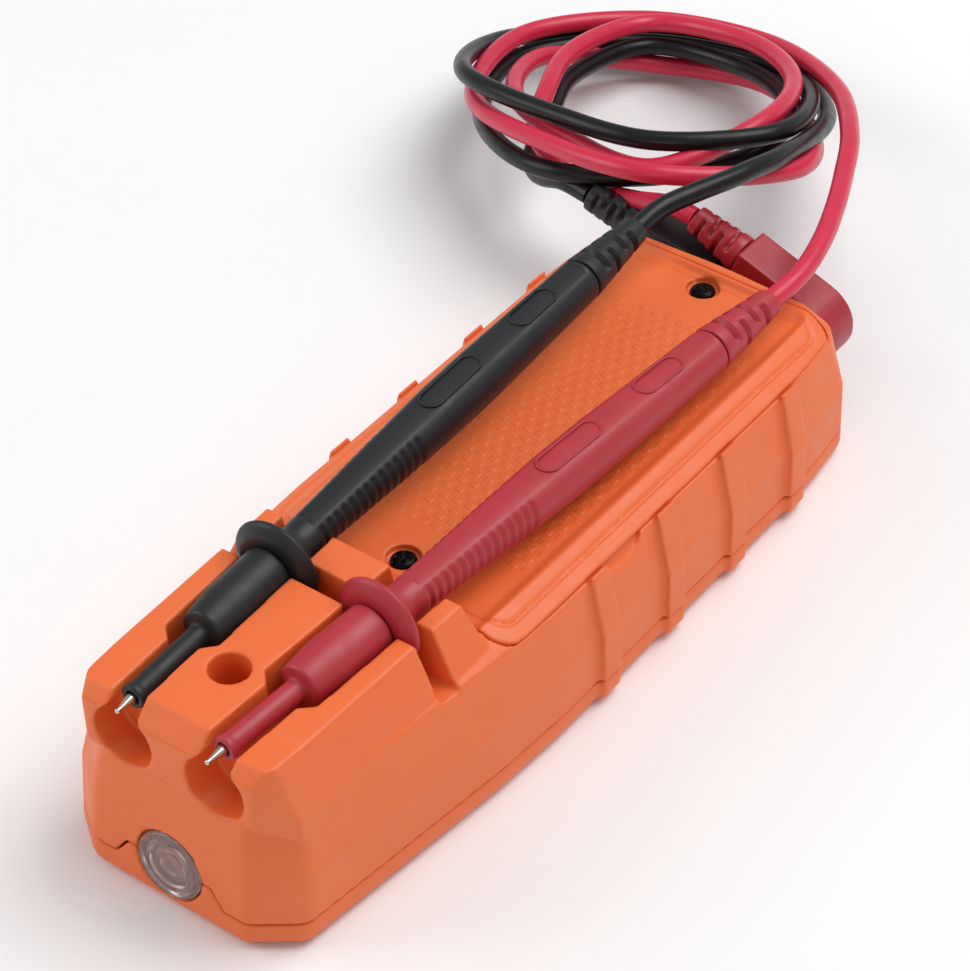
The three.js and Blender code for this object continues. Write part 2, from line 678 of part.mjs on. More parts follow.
// A screw standing on seatZ, with a crossed recess in its head.
function screw(x, y, seatZ, length) {
  const top = seatZ + SCREW_HEAD_HEIGHT;
  const slot = 0.55;
  const reach = SCREW_HEAD_RADIUS * 0.58;
  return cut(
    joined(
      barZ(SCREW_HEAD_RADIUS, x, y, seatZ, top, 24),
      barZ(SCREW_SHANK_RADIUS, x, y, seatZ - length, seatZ + 0.5, 16),
    ),
    box(x - slot, x + slot, y - reach, y + reach, top - 1, top + 1),
    box(x - reach, x + reach, y - slot, y + slot, top - 1, top + 1),
  );
}

// ---------------------------------------------------------------- build the case

add('rear_case', rearCase(), 'case');
add('front_case', frontCase(), 'case');
add('battery_door', batteryDoor(), 'case');
add('door_screw_front', screw(0, doorScrewFrontY, doorFloorZ + 1 + GAP, 6), 'blackScrew');
add('door_screw_rear', screw(0, doorScrewRearY, doorFloorZ + 1 + GAP, 2.6), 'blackScrew');
for (const { name, x, y, seatZ } of CASE_SCREWS) {
  add(name, screw(x, y, seatZ + GAP, seatZ - bossTopZ + 7), 'blackScrew');
}
add('front_label', label, 'panel');
add('light_bar', lightBar, 'light');
add('push_button', button, 'button');

// ---------------------------------------------------------------- torch

const lensDisc = leaned(barY(LENS_RADIUS, 0, 0, 0, LENS_THICKNESS, 36));
add('torch_lens', lensDisc, 'clear');
const ledFront = noseY + NOSE_LEAN * LENS_Z + LENS_THICKNESS + LENS_LIP + 1.5;
const torchLed = joined(
  barY(LED_RADIUS, 0, LENS_Z, ledFront, ledFront + LED_LENGTH, 24),
  barY(LED_RADIUS + 0.5, 0, LENS_Z, ledFront + LED_LENGTH - 1, ledFront + LED_LENGTH, 24),
);
add('torch_led', torchLed, 'light');

// ---------------------------------------------------------------- electronics

const board = cut(
  box(-BOARD_WIDTH / 2, BOARD_WIDTH / 2, boardFrontY, boardRearY, BOARD_Z, boardTopZ),
  box(-6, 6, boardFrontY - 1, boardFrontY + 5, BOARD_Z - 1, boardTopZ + 1),
);
add('circuit_board', board, 'board');

const tactSwitch = joined(
  box(BUTTON_X - 3, BUTTON_X + 3, buttonY - 3, buttonY + 3, BOARD_Z - 1.8, BOARD_Z - GAP),
  barZ(1.5, BUTTON_X, buttonY, BOARD_Z - 2.2, BOARD_Z - 1.5, 20),
);
add('button_switch', tactSwitch, 'darkPlastic');
add('buzzer', barZ(BUZZER_RADIUS, 0, boardFrontY + 14, boardTopZ + GAP, boardTopZ + GAP + BUZZER_HEIGHT),
  'darkPlastic');

for (let index = 0; index < LIGHT_COUNT; index += 1) {
  const y = windowY + (index - (LIGHT_COUNT - 1) / 2) * LIGHT_PITCH;
  const half = LIGHT_SIZE / 2;
  const light = box(WINDOW_X - half, WINDOW_X + half, y - half, y + half,
    BOARD_Z - GAP - LIGHT_HEIGHT, BOARD_Z - GAP);
  add(`indicator_light_${index + 1}`, light, 'light');
}

// ---------------------------------------------------------------- batteries

// The second cell lies the other way round.
const cellLow = -(CELL_LENGTH + CELL_BUTTON) / 2;
const cellProfile = [
  [0, cellLow], [CELL_RADIUS - 0.6, cellLow], [CELL_RADIUS, cellLow + 0.6],
  [CELL_RADIUS, -cellLow - CELL_BUTTON - 0.6], [CELL_RADIUS - 0.6, -cellLow - CELL_BUTTON],
  [1.9, -cellLow - CELL_BUTTON], [1.9, -cellLow], [0, -cellLow],
];
for (const [index, sign] of [-1, 1].entries()) {
  const turn = new THREE.Matrix4().makeRotationZ(sign > 0 ? Math.PI : 0);
  const place = at(sign * cellSpacing / 2, doorMidY, cellZ).multiply(turn);
  add(`battery_${index + 1}`, moved(turned(cellProfile, 28), place), 'cell');
}

// Spring leaf contacts: one bridge at the front, two separate leaves at the rear.
function contact(x0, x1, sign) {
  const wall = doorMidY + sign * (bayLength / 2 - GAP);
  const inner = wall - sign * CONTACT_THICKNESS;
  const plate = box(x0, x1, Math.min(wall, inner), Math.max(wall, inner), bayFloorZ + GAP,
    cellZ + CELL_RADIUS - 1);
  const dimples = [-1, 1]
    .map((side) => side * cellSpacing / 2)
    .filter((x) => x > x0 && x < x1)
    .map((x) => {
      const tip = doorMidY + sign * (bayLength / 2 - CONTACT_ROOM + GAP);
      return barY(1.6, x, cellZ, Math.min(tip, inner), Math.max(tip, inner), 16);
    });
  return joined(plate, ...dimples);
}
const leafHalf = cellSpacing / 2 + CELL_RADIUS - 1;
add('battery_bridge', contact(-leafHalf, leafHalf, -1), 'steel');
add('battery_leaf_left', contact(-leafHalf, -1, 1), 'steel');
add('battery_leaf_right', contact(1, leafHalf, 1), 'steel');

// ---------------------------------------------------------------- sockets and plugs

// A straight tube along Y.
function tubeAlongY(outer, inner, y0, y1) {
  return barY(outer, 0, 0, y0, y1).subtract(barY(inner, 0, 0, y0 - 1, y1 + 1));
}

// A tapered boot round the lead, from y0 towards y1, with flex grooves.
function boot(startRadius, endRadius, length) {
  const profile = [[0, 0], [startRadius, 0]];
  const grooves = 4;
  for (let index = 0; index < grooves; index += 1) {
    const from = (index + 0.55) / (grooves + 0.6);
    const to = (index + 0.95) / (grooves + 0.6);
    const a = THREE.MathUtils.lerp(startRadius, endRadius, from);
    const b = THREE.MathUtils.lerp(startRadius, endRadius, to);
    profile.push([a, length * from], [a - 0.6, length * from + 0.1]);
    profile.push([b - 0.6, length * to - 0.1], [b, length * to]);
  }
  profile.push([endRadius, length], [0, length]);
  return turned(profile, 16);
}

for (const side of SIDES) {
  const x = side.sign * SOCKET_SPACING / 2;
  const tube = tubeAlongY(SOCKET_TUBE_RADIUS, SOCKET_TUBE_RADIUS - SOCKET_TUBE_WALL,
    housingFrontY - 4, rearY - 2.5);
  add(`${side.name}_socket`, moved(tube, at(x, 0, SOCKET_Z)), 'brass');

  // The plug is drawn with its pin towards -Y and its arm towards -X, then turned about Y.
  const plugY = rearY + PLUG_STANDOFF;
  const armTop = PLUG_HEAD_RADIUS;
  const armFloor = PLUG_HEAD_RADIUS - PLUG_ARM_HEIGHT;
  const headEnd = PLUG_HEAD_LENGTH;
  const elbow = cut(
    joined(
      barY(PLUG_HEAD_RADIUS, 0, 0, 0, headEnd, 32),
      box(-PLUG_ARM_LENGTH, 0, headEnd - PLUG_ARM_DEPTH, headEnd, armFloor, armTop),
    ),
    barY(SHROUD_RADIUS + GAP, 0, 0, -1, 3),
  );
  const shroud = tubeAlongY(SHROUD_RADIUS, SHROUD_RADIUS - SHROUD_WALL,
    -PLUG_STANDOFF - PIN_LENGTH, 3 - GAP);
  const pin = joined(
    barY(PIN_RADIUS, 0, 0, -PLUG_STANDOFF - PIN_LENGTH + 1, 3 - GAP, 24),
    barY(SHROUD_RADIUS - SHROUD_WALL - GAP, 0, 0, 1, 3 - GAP, 24),
  );
  const bootTurn = new THREE.Matrix4().makeRotationZ(Math.PI / 2);
  const bootPlace = at(-PLUG_ARM_LENGTH - GAP, headEnd - PLUG_ARM_DEPTH / 2, armTop - PLUG_ARM_HEIGHT / 2)
    .multiply(bootTurn);
  const plugBoot = moved(boot(4.1, LEAD_RADIUS + 0.9, PLUG_BOOT_LENGTH), bootPlace);
  const turn = new THREE.Matrix4().makeRotationY(THREE.MathUtils.degToRad(side.plugTurnDeg));
  const place = at(x, plugY, SOCKET_Z).multiply(turn);
  const plastic = [side.colour, 0.55, 0];
  add(`${side.name}_plug_elbow`, moved(elbow, place), plastic);
  add(`${side.name}_plug_shroud`, moved(shroud, place), plastic);
  add(`${side.name}_plug_pin`, moved(pin, place), 'brass');
  add(`${side.name}_plug_boot`, moved(plugBoot, place), plastic);
}

// ---------------------------------------------------------------- probes

for (const side of SIDES) {
  const half = GUARD_THICKNESS / 2;
  const handle = turned([
    [0, -half], [GUARD_RADIUS - 2.6, -half], [GUARD_RADIUS - 0.5, -0.2], [GUARD_RADIUS, 0.5],
    [GUARD_RADIUS - 0.6, 1.1], [GUARD_RADIUS - 3, half], [NECK_RADIUS + 0.7, half + 1],
    [NECK_RADIUS, half + 4], [NECK_RADIUS + 0.2, 14], [BARREL_RADIUS - 0.5, GRIP_LENGTH * 0.75],
    [BARREL_RADIUS, GRIP_LENGTH + 6], [BARREL_RADIUS, GRIP_LENGTH + 18],
    [BARREL_END_RADIUS, HANDLE_LENGTH], [0, HANDLE_LENGTH],
  ]);
  const handleBored = cut(handle, barY(ROD_RADIUS + GAP, 0, 0, -half - 1, 12, 20));

  const capFront = -half - GAP - CAP_LENGTH;
  const sleeveEnd = capFront - SLEEVE_LENGTH;
  const cap = cut(
    turned([
      [0, sleeveEnd], [SLEEVE_RADIUS, sleeveEnd], [SLEEVE_RADIUS, capFront],
      [CAP_FRONT_RADIUS, capFront + 0.6], [CAP_RADIUS, capFront + 7],
      [CAP_RADIUS, -half - GAP], [0, -half - GAP],
    ]),
    barY(ROD_RADIUS + GAP, 0, 0, sleeveEnd - 1, 0, 20),
  );
  const tipEnd = sleeveEnd - TIP_LENGTH;
  const rod = turned([
    [0, tipEnd], [0.45, tipEnd + 0.15], [0.5, tipEnd + 0.6], [0.4, tipEnd + 0.9],
    [ROD_RADIUS, sleeveEnd - 0.3], [ROD_RADIUS, 10], [0, 10],
  ], 20);
  const probeBoot = moved(boot(BARREL_END_RADIUS, LEAD_RADIUS + 0.8, PROBE_BOOT_LENGTH),
    at(0, HANDLE_LENGTH + GAP, 0));

  const place = at(side.guardX, slotY - 0.2, side.guardZ)
    .multiply(new THREE.Matrix4().makeRotationZ(THREE.MathUtils.degToRad(side.splayDeg)))
    .multiply(new THREE.Matrix4().makeRotationX(THREE.MathUtils.degToRad(side.liftDeg)));
  const plastic = [side.colour, 0.6, 0];
  add(`${side.name}_probe_handle`, moved(handleBored, place), plastic);
  add(`${side.name}_probe_cap`, moved(cap, place), plastic);
  add(`${side.name}_probe_rod`, moved(rod, place), 'steel');
  add(`${side.name}_probe_boot`, moved(probeBoot, place), plastic);
}

// ---------------------------------------------------------------- leads

// A lead along hand-chosen points, with an eight-sided section.
function lead(points) {
  const section = new THREE.Shape();
  section.absarc(0, 0, LEAD_RADIUS, 0, Math.PI * 2);
  const path = new THREE.CatmullRomCurve3(points.map((p) => new THREE.Vector3(...p)));
  const steps = Math.round(path.getLength() / (5 * LEAD_RADIUS));
  const geometry = new THREE.ExtrudeGeometry(section, { curveSegments: 8, steps, extrudePath: path });
  return solid(geometry);
}

for (const side of SIDES) {
  const finish = [side.leadColour, 0.4, 0];
  add(`${side.name}_lead_probe_end`, lead(side.probeLead), finish);
  add(`${side.name}_lead_plug_end`, lead(side.plugLead), finish);
}

// The turns of both leads lie together in one leaning ring.
function coil() {
  const across = COIL_BAND / 2;
  const through = COIL_HEIGHT / 2;
  const middle = COIL_WIDTH / 2 - across;
  const profile = [];
  for (let step = 0; step <= 8; step += 1) {
    const angle = (step / 8) * Math.PI * 2;
    profile.push(new THREE.Vector2(middle + across * Math.cos(angle), through * Math.sin(angle)));
  }
  const geometry = new THREE.LatheGeometry(profile, 40);
  geometry.rotateX(Math.PI / 2);
  geometry.scale(1, (COIL_LENGTH - COIL_BAND) / (COIL_WIDTH - COIL_BAND), 1);
  geometry.rotateX(THREE.MathUtils.degToRad(-COIL_LEAN_DEG));
  geometry.rotateZ(THREE.MathUtils.degToRad(COIL_TURN_DEG));
  return solid(geometry, at(...COIL_CENTRE));
}
add('lead_coil', coil(), [SIDES[1].leadColour, 0.4, 0]);

export default group;
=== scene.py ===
import math

import bmesh
import bpy
from mathutils import Matrix, Vector


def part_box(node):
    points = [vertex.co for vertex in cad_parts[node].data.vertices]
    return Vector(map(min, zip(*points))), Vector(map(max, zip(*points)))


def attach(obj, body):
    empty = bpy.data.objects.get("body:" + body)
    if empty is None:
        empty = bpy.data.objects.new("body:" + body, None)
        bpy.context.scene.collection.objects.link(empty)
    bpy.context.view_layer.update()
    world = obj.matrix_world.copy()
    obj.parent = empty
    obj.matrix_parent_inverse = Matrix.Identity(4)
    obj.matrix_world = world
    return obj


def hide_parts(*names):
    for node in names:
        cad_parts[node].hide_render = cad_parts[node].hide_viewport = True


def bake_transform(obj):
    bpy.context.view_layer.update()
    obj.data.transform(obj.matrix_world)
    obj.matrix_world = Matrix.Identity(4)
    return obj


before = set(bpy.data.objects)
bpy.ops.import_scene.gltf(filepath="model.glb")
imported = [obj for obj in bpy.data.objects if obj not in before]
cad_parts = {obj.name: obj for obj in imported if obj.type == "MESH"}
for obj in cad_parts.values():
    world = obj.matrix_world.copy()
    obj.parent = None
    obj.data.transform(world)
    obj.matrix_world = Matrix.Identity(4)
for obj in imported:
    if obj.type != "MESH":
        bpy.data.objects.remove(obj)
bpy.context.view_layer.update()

MM = 0.001

# Where the tester is seen from: in front of its nose and to its right, looking down at the back
# of the case, through a long lens a little over half a metre away. Lengths are in millimetres.
view_azimuth = math.radians(37.38)
view_height = math.radians(41.38)
view_roll = math.radians(-1.09)
view_distance = 563.63
moved_across = 43.74
moved_up = 31.17
looked_at = Vector((0, -67.5, 42))
back = Vector((
    math.sin(view_azimuth) * math.cos(view_height),
    -math.cos(view_azimuth) * math.cos(view_height),
    math.sin(view_height),
))
level = Vector((math.cos(view_azimuth), math.sin(view_azimuth), 0))
upward = back.cross(level)
across = level * math.cos(view_roll) + upward * math.sin(view_roll)
upright = upward * math.cos(view_roll) - level * math.sin(view_roll)
stand = across * moved_across + upright * moved_up + back * view_distance + looked_at
camera_data = bpy.data.cameras.new("camera")
camera_data.sensor_fit = "HORIZONTAL"
camera_data.sensor_width = 36
camera_data.lens = 122.17
camera_data.clip_end = 20
camera = bpy.data.objects.new("camera", camera_data)
camera.matrix_world = Matrix.Translation(stand * MM) @ Matrix((across, upright, back)).transposed().to_4x4()
bpy.context.collection.objects.link(camera)
bpy.context.scene.camera = camera
bpy.context.scene.view_settings.view_transform = "Standard"


# The two test leads: soft extruded silicone cord 4.2 mm thick, one red and one black, each moulded
# into a probe and a plug. Each is wound two and a half turns into a loose coil that leans on the
# rear of the case and on the bench. Lengths and places are in millimetres.
lead_diameter = 4.2
line_step = 1.5
coil_centre = Vector((-53.8, 138.4, 22.6))
coil_turn = math.radians(34.5)
coil_lean = math.radians(16.8)
coil_across = Vector((math.cos(coil_turn), math.sin(coil_turn), 0))
coil_along = Vector((
    -math.sin(coil_turn) * math.cos(coil_lean),
    math.cos(coil_turn) * math.cos(coil_lean),
    -math.sin(coil_lean),
))
coil_axis = coil_across.cross(coil_along)
coil_half_width = 38.8
coil_half_length = 52.0


def turn_point(degrees, outward, along_axis):
    """A place in the coil, by its angle, how far it lies outside the middle turn, and its layer."""
    angle = math.radians(degrees)
    swell = 1 + outward / ((coil_half_width + coil_half_length) / 2)
    return (
        coil_centre
        + coil_across * coil_half_width * swell * math.cos(angle)
        + coil_along * coil_half_length * swell * math.sin(angle)
        + coil_axis * along_axis
    )


red_from_probe = [
    (17.7, 74.9, 38.6), (18.1, 85, 38.9), (16, 96, 38.9), (11.6, 108.4, 38),
    (5.8, 121.4, 36.5), (-3, 138.3, 33.6),
]
red_turns = [
    (0, 1.5, 3), (45, -3, 2.5), (90, -3, 3), (135, 1.2, 2.8), (180, 0, -0.2), (225, -6.5, 0.3),
    (270, -0.5, 0), (315, 4.5, -2.5), (360, -5.5, -5.3), (405, -5, -6.6), (450, -8, -5.8),
    (495, -7, -0.5), (540, -10.5, 0.5), (585, -14.5, -0.6), (630, -9, -2.2), (675, -7.7, 4),
    (720, -9, 4.5), (765, -10, 4.5), (810, -9, 4.2), (855, -17, 3.5), (900, -18.5, 0.5),
]
red_to_plug = [
    (-67, 114, 21.5), (-57, 108.5, 19.8), (-45, 105.3, 20.8), (-32, 101.8, 25.6),
    (-21.8, 99.8, 29.8), (-16.3, 99.8, 29.2),
]
black_from_plug = [
    (-42.7, 99.8, 23.5), (-50.5, 101.2, 23.2), (-58, 104.5, 19), (-64, 109.2, 15.6), (-69, 115, 14),
]
black_turns = [
    (-185, -19.5, -5), (-225, -17, -2.5), (-270, -9, -1.2), (-315, -9.5, -2.5), (-360, -10, -2),
    (-405, -9, -3), (-450, -14, -6), (-495, -7, -6), (-540, -2, -4.8), (-585, 1.5, -2.3),
    (-630, -4.4, -2), (-675, -4.5, -2), (-720, -4.5, 1), (-765, -3, 3.2), (-810, -11.3, 3),
    (-855, -12.5, 4.2), (-900, 2.3, 5.2), (-945, 6.3, 0.5), (-990, 0, -1.5), (-1035, 0.3, -1.8),
    (-1080, 0, -3.2),
]
black_to_probe = [
    (-7.6, 118, 37.6), (-7.4, 106, 41.3), (-8.2, 101, 42), (-10.9, 91.5, 42.9), (-13.7, 83, 42.8),
    (-14.2, 75.1, 42.3),
]


def flowing(points):
    """A smooth line through the points, in millimetres, with the place of each point in it."""
    points = [Vector(point) for point in points]
    extended = [2 * points[0] - points[1]] + points + [2 * points[-1] - points[-2]]
    line = []
    places = []
    for before, start, end, after in zip(extended, extended[1:], extended[2:], extended[3:]):
        places.append(len(line))
        k0, k1, k2 = (math.sqrt((b - a).length) for a, b in ((before, start), (start, end), (end, after)))
        leaving = ((start - before) / k0 - (end - before) / (k0 + k1)) * k1 + (end - start)
        arriving = ((after - end) / k2 - (after - start) / (k1 + k2)) * k1 + (end - start)
        steps = max(2, round((end - start).length / line_step))
        for step in range(steps):
            t = step / steps
            line.append(
                start * (1 + t * t * (2 * t - 3)) + end * t * t * (3 - 2 * t)
                + leaving * t * (1 - t) ** 2 - arriving * t * t * (1 - t)
            )
    places.append(len(line))
    line.append(points[-1])
    return line, places


def linear(colour):
    """An sRGB hex colour as linear red, green, blue and alpha."""
    parts = [int(colour[i:i + 2], 16) / 255 for i in (1, 3, 5)]
    return tuple(p / 12.92 if p <= 0.04045 else ((p + 0.055) / 1.055) ** 2.4 for p in parts) + (1,)


def add_node(tree, kind, links=(), **settings):
    """A node, its settings by property or input name, and its links as pairs of input and source."""
    node = tree.nodes.new("ShaderNode" + kind)
    for key, value in settings.items():
        if hasattr(node, key):
            setattr(node, key, value)
        else:
            node.inputs[key.replace("_", " ")].default_value = value
    for target, source in links:
        tree.links.new(source, node.inputs[target])
    return node


def plastic(name, colour, worn_colour, roughness, grain_mm, grain_depth_mm, mottle_mm=14.0, shine=0.5):
    """A moulded or extruded plastic or rubber: a faint mottle, uneven gloss and a fine grain."""
    material = bpy.data.materials.new(name)
    material.use_nodes = True
    tree = material.node_tree
    tree.nodes.clear()
    place = add_node(tree, "TexCoord").outputs["Object"]
    mottle = add_node(tree, "TexNoise", [("Vector", place)], Scale=1 / (mottle_mm * MM), Detail=3.0)
    tint = add_node(
        tree, "MixRGB", [("Fac", mottle.outputs["Fac"])], Color1=linear(colour), Color2=linear(worn_colour),
    )
    cloud = add_node(tree, "TexNoise", [("Vector", place)], Scale=1 / (4.5 * MM), Detail=4.0)
    gloss = add_node(
        tree, "MapRange", [("Value", cloud.outputs["Fac"])],
        From_Min=0.3, From_Max=0.7, To_Min=roughness - 0.06, To_Max=roughness + 0.06,
    )
    grain = add_node(tree, "TexNoise", [("Vector", place)], Scale=1 / (grain_mm * MM), Detail=2.0)
    relief = add_node(
        tree, "Bump", [("Height", grain.outputs["Fac"])], Strength=0.35, Distance=grain_depth_mm * MM,
    )
    shader = add_node(tree, "BsdfPrincipled", [
        ("Base Color", tint.outputs["Color"]),
        ("Roughness", gloss.outputs["Result"]),
        ("Normal", relief.outputs["Normal"]),
    ], IOR=1.5, Specular_IOR_Level=shine)
    add_node(tree, "OutputMaterial", [("Surface", shader.outputs["BSDF"])])
    return material


# Extruded silicone rubber is smooth, so it gives a long satin highlight, a little uneven in gloss.
red_cord = plastic("red_extruded_silicone", "#cb1f3f", "#d62c4b", 0.34, 2.6, 0.01)
black_cord = plastic("black_extruded_silicone", "#0e0f10", "#141517", 0.33, 2.6, 0.01, shine=0.32)


def linked(name, mesh, material):
    """An object at the origin that shows the mesh in that material."""
    mesh.materials.clear()
    mesh.materials.append(material)
    piece = bpy.data.objects.new(name, mesh)
    bpy.context.collection.objects.link(piece)
    return piece


def lead_run(name, line, material):
    """A length of cord along the line, with closed ends."""
    curve = bpy.data.curves.new(name, "CURVE")
    curve.dimensions = "3D"
    curve.bevel_depth = lead_diameter / 2 * MM
    curve.bevel_resolution = 9
    curve.use_fill_caps = True
    spline = curve.splines.new("POLY")
    spline.points.add(len(line) - 1)
    for point, place in zip(spline.points, line):
        point.co = (*(place * MM), 1)
    drawn = bpy.data.objects.new(name, curve)
    bpy.context.collection.objects.link(drawn)
    mesh = bpy.data.meshes.new_from_object(drawn.evaluated_get(bpy.context.evaluated_depsgraph_get()))
    bpy.data.objects.remove(drawn)
    mesh.name = name
    mesh.polygons.foreach_set("use_smooth", [True] * len(mesh.polygons))
    return linked(name, mesh, material)


red_line, red_places = flowing(
    red_from_probe + [turn_point(*station) for station in red_turns] + red_to_plug
)
red_coil_start = red_places[len(red_from_probe) - 1]
red_coil_end = red_places[len(red_from_probe) + len(red_turns)]
black_line, black_places = flowing(
    black_from_plug + [turn_point(*station) for station in black_turns] + black_to_probe
)
black_coil_start = black_places[len(black_from_plug) - 1]
black_coil_end = black_places[len(black_from_plug) + len(black_turns)]

# Each lead is in three runs. The coil stays where it lies, and each tail runs between the coil
# and its probe or plug.
red_probe_run = red_line[:red_coil_start + 1]
red_coil_run = red_line[red_coil_start:red_coil_end + 1]
red_plug_run = red_line[red_coil_end:][::-1]
black_plug_run = black_line[:black_coil_start + 1]
black_coil_run = black_line[black_coil_start:black_coil_end + 1]
black_probe_run = black_line[black_coil_end:][::-1]
for colour, material, probe_run, coil_run, plug_run in (
    ("red", red_cord, red_probe_run, red_coil_run, red_plug_run),
    ("black", black_cord, black_probe_run, black_coil_run, black_plug_run),
):
    for part, line in (("probe_tail", probe_run), ("coil", coil_run), ("plug_tail", plug_run)):
        piece = lead_run(f"{colour}_lead_{part}", line, material)
        if part == "coil":
            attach(piece, "root")
            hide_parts("lead_coil")
        else:
            held_by = part.split("_")[0]
            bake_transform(piece)
            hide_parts(f"{colour}_lead_{held_by}_end")


# The bench: a plain pale sheet that the tester lies on, and soft light from three panels. The
# strongest hangs behind and to the right, a weaker one fills from the left, and a faint one
# lights the nose. Places are in metres.
floor_mesh = bpy.data.meshes.new("floor")
sheet = bmesh.new()
bmesh.ops.create_grid(sheet, x_segments=8, y_segments=8, size=3)
sheet.to_mesh(floor_mesh)
sheet.free()
bench_white = plastic("white_bench_sheet", "#f4f4f3", "#f7f7f7", 0.6, 2.0, 0.01, 60.0)
floor = linked("floor", floor_mesh, bench_white)
floor.location.z = -0.2 * MM
room = bpy.data.worlds.new("room")
room.use_nodes = True
room.node_tree.nodes["Background"].inputs["Color"].default_value = linear("#f6f8fb")
room.node_tree.nodes["Background"].inputs["Strength"].default_value = 0.42
bpy.context.scene.world = room
lit_point = Vector((0, 0.02, 0.02))
for name, place, size, power in (
    ("key_panel", (0.3, 0.42, 0.95), 0.8, 8.2),
    ("left_panel", (-0.75, -0.45, 0.55), 0.6, 3.2),
    ("nose_panel", (0.45, -0.95, 0.4), 0.4, 0.9),
):
    light = bpy.data.lights.new(name, "AREA")
    light.size = size
    light.energy = power
    lamp = bpy.data.objects.new(name, light)
    lamp.location = place
    lamp.rotation_euler = (lit_point - Vector(place)).to_track_quat("-Z", "Y").to_euler()
    bpy.context.collection.objects.link(lamp)


# The case: two orange ABS mouldings screwed together, and a battery door held by two screws.
# They are injection moulded, so every edge is slightly rounded.

# Moulded ABS with a fine spark-eroded texture, which makes it matt with broad soft highlights.
orange_abs = plastic("orange_moulded_abs", "#e96a30", "#ee7239", 0.46, 0.55, 0.035)


def moulded(name, node, voxel_mm, passes, share, material, body, cutter=None):
    """A CAD piece with the soft edges of a moulding, less the cutter, in place of its node."""
    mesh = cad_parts[node].data.copy()
    shape = bmesh.new()
    shape.from_mesh(mesh)
    bmesh.ops.remove_doubles(shape, verts=shape.verts, dist=0.001 * MM)
    shape.to_mesh(mesh)
    shape.free()
    rough = bpy.data.objects.new(name, mesh)
    bpy.context.collection.objects.link(rough)
    if cutter:
        cut = rough.modifiers.new("cut", "BOOLEAN")
        cut.operation = "DIFFERENCE"
        cut.object = cutter
    cast = rough.modifiers.new("cast", "REMESH")
    cast.mode = "VOXEL"
    cast.voxel_size = voxel_mm * MM
    polish = rough.modifiers.new("polish", "SMOOTH")
    polish.factor = 0.5
    polish.iterations = passes
    thin = rough.modifiers.new("thin", "DECIMATE")
    thin.ratio = share
    bpy.context.view_layer.update()
    casting = bpy.data.meshes.new_from_object(rough.evaluated_get(bpy.context.evaluated_depsgraph_get()))
    bpy.data.objects.remove(rough)
    casting.name = name
    casting.polygons.foreach_set("use_smooth", [True] * len(casting.polygons))
    piece = linked(name, casting, material)
    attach(piece, body)
    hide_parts(node)
    return piece


# A fingertip notch beside the door, a half moon cut into the sloping side wall. Its floor goes in
# deepest under the door's edge.
notch_radius = 7.6 * MM
notch_drop = 4.4 * MM
notch_depth = 3.0 * MM
notch_along = 8 * MM
notch_height = 31 * MM
notch_tilt = math.radians(-14)
wall_lean = math.radians(18.8)
cutter_length = 20 * MM
door_low, door_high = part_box("battery_door")
moon = bmesh.new()
bmesh.ops.create_cone(
    moon, cap_ends=True, segments=64, radius1=notch_radius, radius2=notch_radius, depth=cutter_length,
)
bmesh.ops.translate(moon, vec=(0, 0, cutter_length / 2), verts=moon.verts)
bmesh.ops.transform(
    moon, verts=moon.verts,
    matrix=Matrix.Translation((door_high.x, notch_along, notch_height))
    @ Matrix.Rotation(math.pi / 2 - wall_lean, 4, "Y")
    @ Matrix.Translation((notch_drop - notch_radius, 0, 0))
    @ Matrix.Rotation(notch_tilt, 4, "Y")
    @ Matrix.Translation((0, 0, -notch_depth)),
)
moon_mesh = bpy.data.meshes.new("moon")
moon.to_mesh(moon_mesh)
moon.free()
moon_cutter = bpy.data.objects.new("moon", moon_mesh)
bpy.context.collection.objects.link(moon_cutter)
rear_shell = moulded("rear_shell", "rear_case", 0.38, 3, 0.26, orange_abs, "root", moon_cutter)
bpy.data.objects.remove(moon_cutter)
front_shell = moulded("front_shell", "front_case", 0.45, 4, 0.3, orange_abs, "root")

# The door is the same ABS. Its middle has rows of low raised dashes, which catch the light as a
# fine pattern. Their sizes are in millimetres.
dash_pitch = 2.9
dash_row = 2.7
dash_gap = 0.85
dash_rise = 0.17
field_half_width = 21
field_half_length = 39
field_middle = 29
dashed_abs = plastic("orange_moulded_abs_dashed", "#e96a30", "#ee7239", 0.46, 0.55, 0.035)
dash_tree = dashed_abs.node_tree
dash_place = dash_tree.nodes["Texture Coordinate"].outputs["Object"]
dashes = add_node(
    dash_tree, "TexBrick", [("Vector", dash_place)], Scale=1 / MM, Brick_Width=dash_pitch,
    Row_Height=dash_row, Mortar_Size=dash_gap, Mortar_Smooth=0.35,
)
dash_sides = add_node(dash_tree, "SeparateXYZ", [("Vector", dash_place)])
dash_across = add_node(dash_tree, "Math", [(0, dash_sides.outputs["X"])], operation="COMPARE")
dash_across.inputs[1].default_value = 0
dash_across.inputs[2].default_value = field_half_width * MM
dash_along = add_node(dash_tree, "Math", [(0, dash_sides.outputs["Y"])], operation="COMPARE")
dash_along.inputs[1].default_value = field_middle * MM
dash_along.inputs[2].default_value = field_half_length * MM
dash_field = add_node(
    dash_tree, "Math", [(0, dash_across.outputs["Value"]), (1, dash_along.outputs["Value"])],
    operation="MULTIPLY",
)
dash_gaps = add_node(dash_tree, "Math", [(1, dashes.outputs["Fac"])], operation="SUBTRACT")
dash_gaps.inputs[0].default_value = 1
dash_height = add_node(
    dash_tree, "Math", [(0, dash_gaps.outputs["Value"]), (1, dash_field.outputs["Value"])],
    operation="MULTIPLY",
)
dash_relief = add_node(
    dash_tree, "Bump", [
        ("Height", dash_height.outputs["Value"]), ("Normal", dash_tree.nodes["Bump"].outputs["Normal"]),
    ], Strength=0.7, Distance=dash_rise * MM,
)
